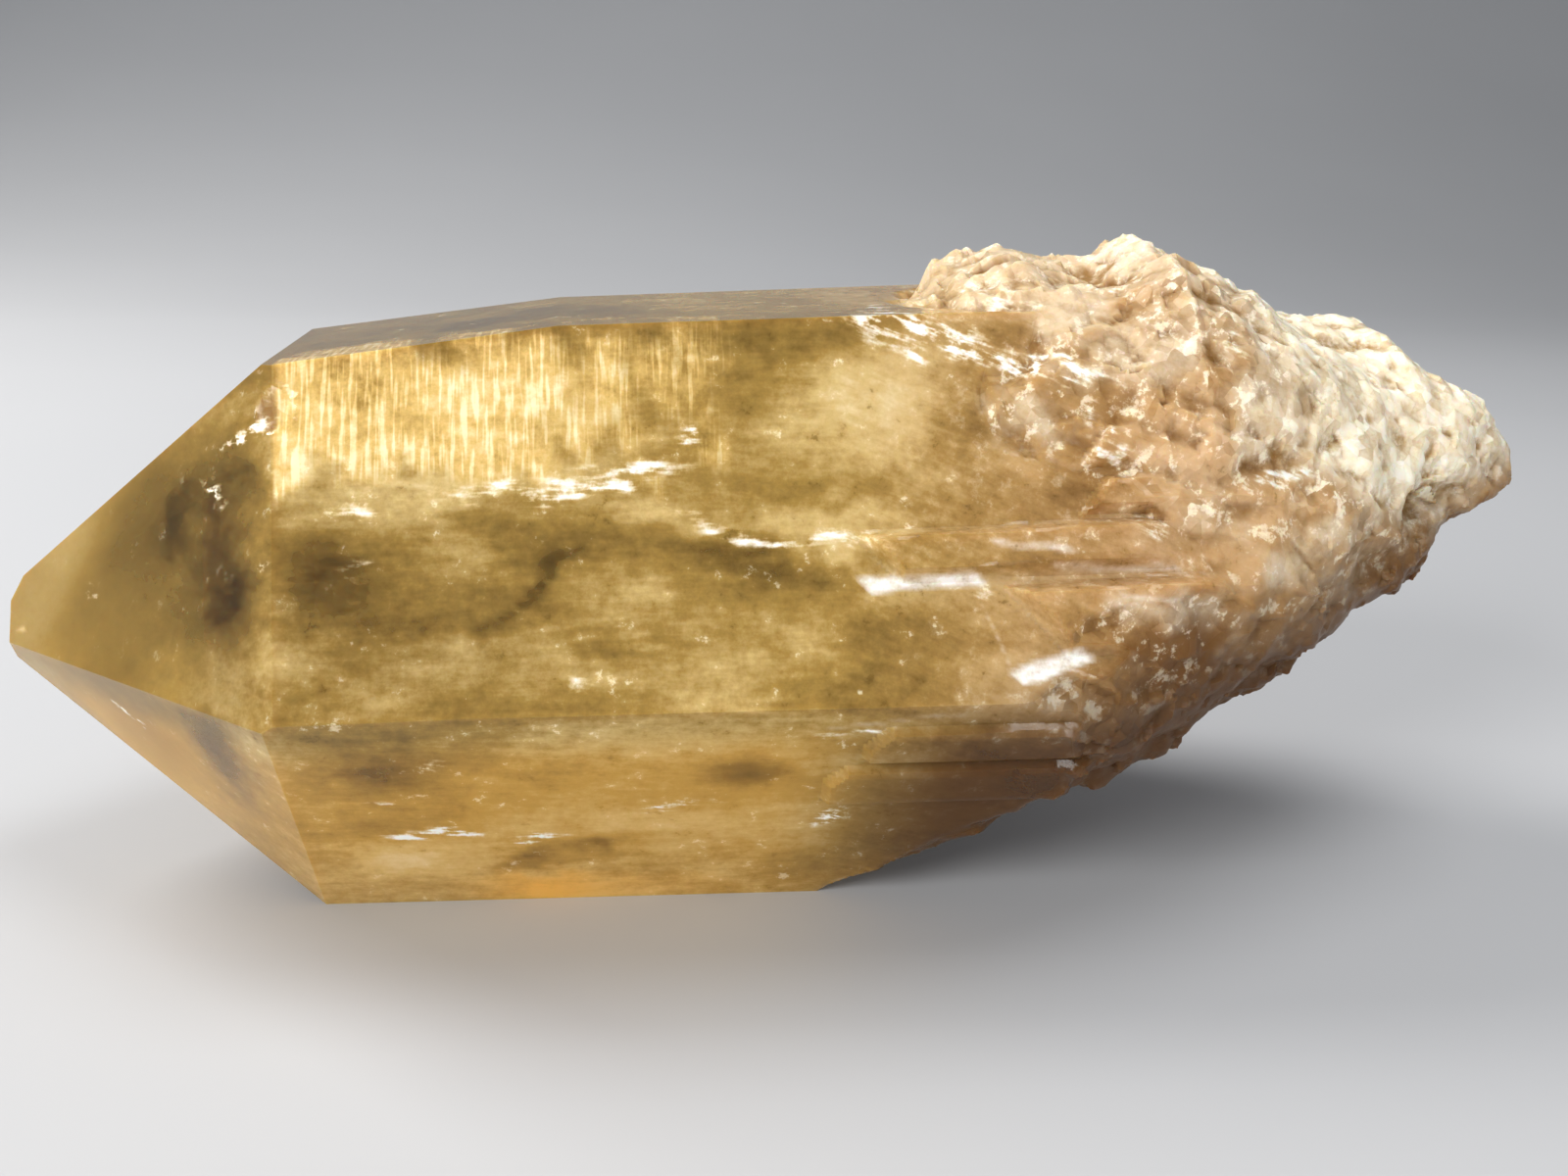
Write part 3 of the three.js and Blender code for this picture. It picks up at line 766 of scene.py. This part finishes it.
def quartz_colour(tree, marks, fine, milk, x, calm):
    """The quartz's colour for its milk: ramps for the body and for the root, then crumbs with painted
    glints, painted glints and dark specks, painted shade in creases, the weathered white end with painted
    facet shade, painted shade on the underside and the painted low glow."""
    grain, facet_shade = fine["grain"], fine["facet_shade"]
    to_root = between(tree, x, -0.004, 0.020)
    body = ramp(tree, milk, [(0.24, OLIVE), (0.44, HONEY), (0.58, BUTTER), (0.76, PALE)])
    root = ramp(tree, milk, [(0.28, BROWN), (0.44, TAN), (0.60, ROSE), (0.80, SAND)])
    colour = blend(tree, to_root, body, root)
    broken = plus(tree, times(tree, marks["rough"], 0.35), times(tree, fine["gritty"], 0.65))
    broken = plus(tree, broken, times(tree, to_root, 0.25))
    # Cream crumbs on broken surfaces, partly the stone's colour and partly painted glints
    crumbs_and_glints = between(tree, plus(tree, grain, times(tree, fine["facet"], 0.12)), 0.62, 0.72)
    colour = blend(tree, times(tree, times(tree, crumbs_and_glints, broken), 0.8), colour, CREAM)
    # Painted glints: bright warm flecks through the body
    glint_flecks = times(tree, times(tree, between(tree, grain, 0.62, 0.72), calm), 0.6)
    colour = blend(tree, glint_flecks, colour, WARM_GLINT)
    specks = times(tree, times(tree, between(tree, grain, 0.37, 0.29), calm), 0.5)
    colour = blend(tree, specks, colour, OLIVE)
    # Painted shade in creases and chips, brown, together with the ochre low on the end
    sunk = times(tree, marks["crease_shade_and_ochre"], between(tree, grain, 0.72, 0.42))
    colour = blend(tree, times(tree, sunk, marks["rough"]), colour, BROWN)
    # The weathered end's tone, with the painted shade of its small faces
    wear_and_facet_shade = plus(tree, times(tree, facet_shade, 0.30), times(tree, fine["fine"], 1.2))
    weathered = ramp(tree, plus(tree, wear_and_facet_shade, 0.5), [(0.28, SAND), (0.48, CREAM), (0.78, CHALK)])
    colour = blend(tree, marks["white"], colour, blend(tree, sunk, weathered, OCHRE))
    # Painted shade on the underside, a very dark brown
    colour = blend(tree, times(tree, marks["under"], 0.92), colour, UNDER_SHADE)
    # Painted orange glow along the lower edge and on the low faces
    return blend(tree, marks["glow"], colour, GLOW_ORANGE)


def gold_glow_colour(tree, place, gold_glow, fine, milk):
    """The golden patch's painted glow: bright lines across the crystal, more solid where the patch is
    strong, and broken up by the grain and the milk."""
    lines = drawn_out_noise(tree, place, LINE_SCALE, 1.0)
    lit = plus(tree, times(tree, between(tree, lines, 0.46, 0.66), 0.42), times(tree, fine["fine"], 0.9))
    lit = plus(tree, plus(tree, lit, 0.24), times(tree, off_middle(tree, milk), 2.0))
    lit = plus(tree, lit, times(tree, gold_glow, 0.20))
    return ramp(tree, lit, [(0.0, DEEP_GOLD), (0.45, GOLD), (1.0, LIT_GOLD)])


def citrine():
    """Clear honey quartz mixed with milky quartz: more milk in its clouds, towards the root, on broken
    surfaces and under the painted highlights and golden glow. Its colour is in the milk, which also
    carries painted highlights, glints, glow and shade, and in what the clear part absorbs."""
    material, tree = new_material("citrine")
    place = add(tree, "ShaderNodeTexCoord").outputs["Object"]
    marks = {name: mark(tree, name) for name in MARKS}
    x = add(tree, "ShaderNodeSeparateXYZ", Vector=place).outputs["X"]
    calm = add(tree, "ShaderNodeMapRange", Value=x, From_Min=-0.045, From_Max=-0.032,
               To_Min=0.15).outputs[0]
    fine = fine_patterns(tree, place, x, marks)
    wispy = plus(tree, times(tree, fine["fine"], 0.28), times(tree, fine["streaky"], 0.14))
    milk = plus(tree, marks["milk"], times(tree, wispy, calm))
    milk = plus(tree, milk, times(tree, fine["facet_shade"], 0.15))

    colour = quartz_colour(tree, marks, fine, milk, x, calm)
    # The golden patch's painted glow
    glowing_gold = gold_glow_colour(tree, place, marks["gold_glow"], fine, milk)
    colour = blend(tree, times(tree, marks["gold_glow"], 0.95), colour, glowing_gold)
    # Painted highlights on the milky veils: internal flashes and glints, in warm and cool white
    speckled = plus(tree, times(tree, fine["streaky"], 3.6), times(tree, fine["fine"], 2.6))
    veil_glint = times(tree, marks["veil_glint"], plus(tree, speckled, 0.5))
    veil_glint = between(tree, veil_glint, 0.16, 0.95)
    colour = blend(tree, veil_glint, colour, blend(tree, veil_glint, WARM_GLINT, HIGHLIGHT_WHITE))
    # Painted highlights along the small crystals' edges, in white
    edge_highlight = times(tree, marks["edge_highlight"], plus(tree, times(tree, fine["fine"], 2.5), 0.9))
    edge_highlight = held(tree, edge_highlight)
    colour = blend(tree, edge_highlight, colour, HIGHLIGHT_WHITE)

    share = add(tree, "ShaderNodeMapRange", Value=x, From_Min=-0.055, From_Max=0.0, To_Min=0.68,
                To_Max=0.95).outputs[0]
    share = plus(tree, share, times(tree, off_middle(tree, milk), 1.5))
    milkier = [(veil_glint, 1.0), (marks["gold_glow"], 0.35), (marks["rough"], 0.6), (edge_highlight, 1.0),
               (marks["window"], -0.35)]
    for more, amount in milkier:
        share = plus(tree, share, times(tree, more, amount))
    share = times(tree, held(tree, share), MOST_MILK)

    bump = add(tree, "ShaderNodeBump", Strength=0.7, Distance=0.0003, Height=fine["relief"]).outputs[0]
    gloss = add(tree, "ShaderNodeMapRange", Value=marks["rough"], To_Min=0.06, To_Max=0.40).outputs[0]
    glass = add(tree, "ShaderNodeBsdfPrincipled", Base_Color=CLEAR, Roughness=gloss, IOR=QUARTZ_IOR,
                Normal=bump, Transmission_Weight=1.0)
    lamp_through = add(tree, "ShaderNodeBsdfTransparent", Color=LAMP_TINT)
    lamp_ray = add(tree, "ShaderNodeLightPath").outputs["Is Shadow Ray"]
    clear = add(tree, "ShaderNodeMixShader", Fac=lamp_ray, _1=glass.outputs[0], _2=lamp_through.outputs[0])
    milky = add(tree, "ShaderNodeBsdfPrincipled", Base_Color=colour, Roughness=gloss, IOR=QUARTZ_IOR,
                Normal=bump, Specular_IOR_Level=0.22, Subsurface_Weight=0.5,
                Subsurface_Radius=(1.0, 0.5, 0.18), Subsurface_Scale=0.0022)
    surface = add(tree, "ShaderNodeMixShader", Fac=share, _1=clear.outputs[0], _2=milky.outputs[0])
    honey = add(tree, "ShaderNodeVolumeAbsorption", Color=HONEY_LEFT, Density=HONEY_DENSITY)
    add(tree, "ShaderNodeOutputMaterial", Surface=surface.outputs[0], Volume=honey.outputs[0])
    return material


def plain_floor():
    """Pale grey, very slightly clouded."""
    material, tree = new_material("pale_floor")
    place = add(tree, "ShaderNodeTexCoord").outputs["Object"]
    cloud = add(tree, "ShaderNodeTexNoise", Vector=place, Scale=3.0, Detail=3.0).outputs["Fac"]
    colour = ramp(tree, cloud, [(0.3, FLOOR_GREYS[0]), (0.7, FLOOR_GREYS[1])])
    shader = add(tree, "ShaderNodeBsdfPrincipled", Base_Color=colour, Roughness=0.75)
    add(tree, "ShaderNodeOutputMaterial", Surface=shader.outputs[0])
    return material


# The stage, the lights and the camera

FLOOR_HALF = 4.0
FLOOR_BEND_AT = 0.35
FLOOR_BEND_RADIUS = 0.8
BACKDROP_HEIGHT = 2.0

# Soft round lamps: name, place, what it points at, power in watts and colour
LAMPS = [
    ("window", (-0.38, 0.22, 0.42), (0, 0, 0.02), 2.6, (1.0, 0.97, 0.93)),
    ("left_key", (-0.52, -0.40, 0.34), (0, 0, 0.02), 3.6, (1.0, 0.99, 0.97)),
    ("front_fill", (0.05, -0.65, 0.12), (0, 0, 0.02), 1.4, (1.0, 0.99, 0.97)),
    ("top", (0.15, 0.0, 0.55), (0, 0, 0), 1.0, (1.0, 1.0, 1.0)),
]
LAMP_SIZE = 0.30
ROOM_COLOUR = (0.95, 0.97, 1.0, 1)
ROOM_STRENGTH = 0.30


def make_floor():
    """A floor that sweeps up into a backdrop behind: a flat run, a quarter circle, a wall."""
    arc = np.linspace(0, 0.5 * np.pi, 24)
    bend = FLOOR_BEND_AT + FLOOR_BEND_RADIUS * np.sin(arc)
    run = np.concatenate([[-FLOOR_HALF], bend, [FLOOR_BEND_AT + FLOOR_BEND_RADIUS]])
    rise = np.concatenate([[0.0], FLOOR_BEND_RADIUS * (1 - np.cos(arc)), [BACKDROP_HEIGHT]])
    profile = np.stack([run, rise], 1)
    points = [(side, y, z) for y, z in profile for side in (-FLOOR_HALF, FLOOR_HALF)]
    faces = [(2 * k, 2 * k + 1, 2 * k + 3, 2 * k + 2) for k in range(len(profile) - 1)]
    mesh = bpy.data.meshes.new("floor")
    mesh.from_pydata(points, [], faces)
    mesh.shade_smooth()
    new_object("floor", mesh, plain_floor())


def soft_lamp(name, place, aim, power, colour):
    """A round lamp at place that points at aim."""
    data = bpy.data.lights.new(name, "AREA")
    data.shape, data.size, data.energy, data.color = "DISK", LAMP_SIZE, power, colour
    lamp = bpy.data.objects.new(name, data)
    bpy.context.scene.collection.objects.link(lamp)
    lamp.location = place
    toward = Vector(aim) - Vector(place)
    lamp.rotation_euler = toward.to_track_quat("-Z", "Y").to_euler()


def make_lights():
    """The lamps, a dim even room round them, and how often light is followed."""
    for lamp in LAMPS:
        soft_lamp(*lamp)
    world = bpy.data.worlds.new("soft_room")
    bpy.context.scene.world = world
    world.use_nodes = True
    background = world.node_tree.nodes["Background"]
    background.inputs["Color"].default_value = ROOM_COLOUR
    background.inputs["Strength"].default_value = ROOM_STRENGTH
    bpy.context.scene.view_settings.view_transform = "Standard"
    cycles = bpy.context.scene.cycles
    cycles.max_bounces = 5
    cycles.transmission_bounces = 5
    cycles.diffuse_bounces = 2
    cycles.caustics_reflective = False
    cycles.caustics_refractive = False


def make_camera():
    """The camera's axes from its turn round z, its tip down and its roll."""
    turn, down, roll = (math.radians(a) for a in (CAMERA_TURN, CAMERA_DOWN, CAMERA_ROLL))
    right = np.array([math.cos(turn), -math.sin(turn), 0])
    level = np.array([math.sin(turn), math.cos(turn), 0])
    ahead = level * math.cos(down) - (0, 0, math.sin(down))
    up = level * math.sin(down) + (0, 0, math.cos(down))
    c, s = math.cos(roll), math.sin(roll)
    right, up = right * c - up * s, right * s + up * c
    data = bpy.data.cameras.new("camera")
    data.sensor_width, data.lens, data.clip_start = 36.0, CAMERA_LENS, 0.002
    camera = bpy.data.objects.new("camera", data)
    bpy.context.scene.collection.objects.link(camera)
    axes = np.eye(4)
    axes[:3, 0], axes[:3, 1], axes[:3, 2], axes[:3, 3] = right, up, -ahead, CAMERA_AT
    camera.matrix_world = Matrix(axes.tolist())
    bpy.context.scene.camera = camera


def make_crystal():
    """The whole crystal, one piece in place of the solid."""
    place, marks = crystal_surface()
    mesh = grid_mesh("crystal_body", place, marks)
    mesh.shade_smooth()
    mesh.set_sharp_from_angle(angle=math.radians(CREASE_ANGLE))
    piece = new_object("crystal_body", mesh, citrine())
    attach(piece, "root")
    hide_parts("crystal")
    return piece


make_camera()
make_floor()
make_lights()
make_crystal()
